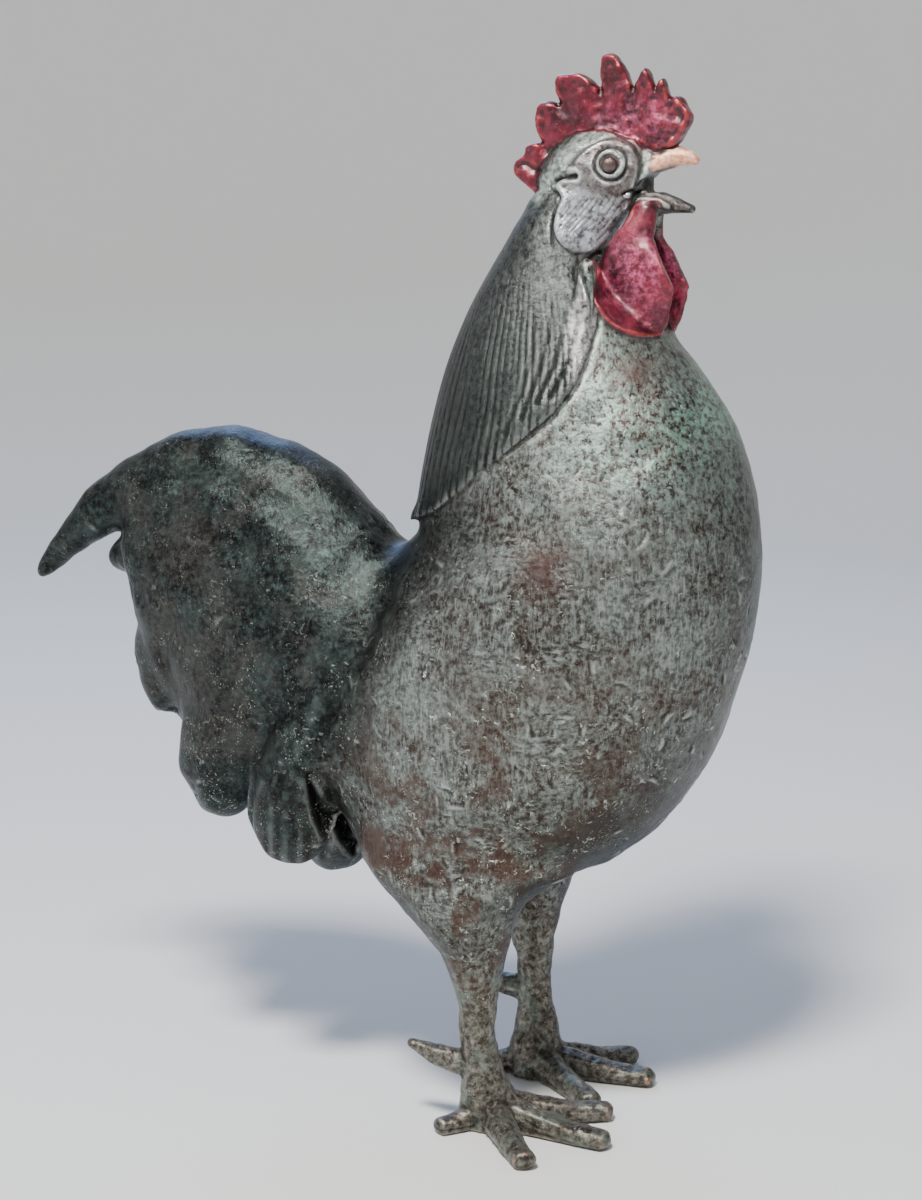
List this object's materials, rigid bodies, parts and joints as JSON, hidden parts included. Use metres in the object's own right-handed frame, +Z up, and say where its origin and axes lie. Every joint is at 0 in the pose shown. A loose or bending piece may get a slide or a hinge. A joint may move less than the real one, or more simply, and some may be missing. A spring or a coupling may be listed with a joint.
{
  "type": "bronze rooster sculpture",
  "caption": "Life-size standing rooster cast in bronze, crowing with its beak open, with a serrated comb, hanging wattles, a fluted neck cape and an arched sickle tail.",
  "frame": {"origin": "on the ground under the middle of the figure's bounding box", "axes": "+X the way the bird faces, +Y its left, +Z up"},
  "size_m": [0.5234, 0.2246, 0.7],
  "materials": {
    "bronze": "weathered bronze, brown with grey-green patina, the comb and wattles stained dark red"
  },
  "bodies": {
    "root": {"rooster": "bronze"}
  },
  "joints": []
}
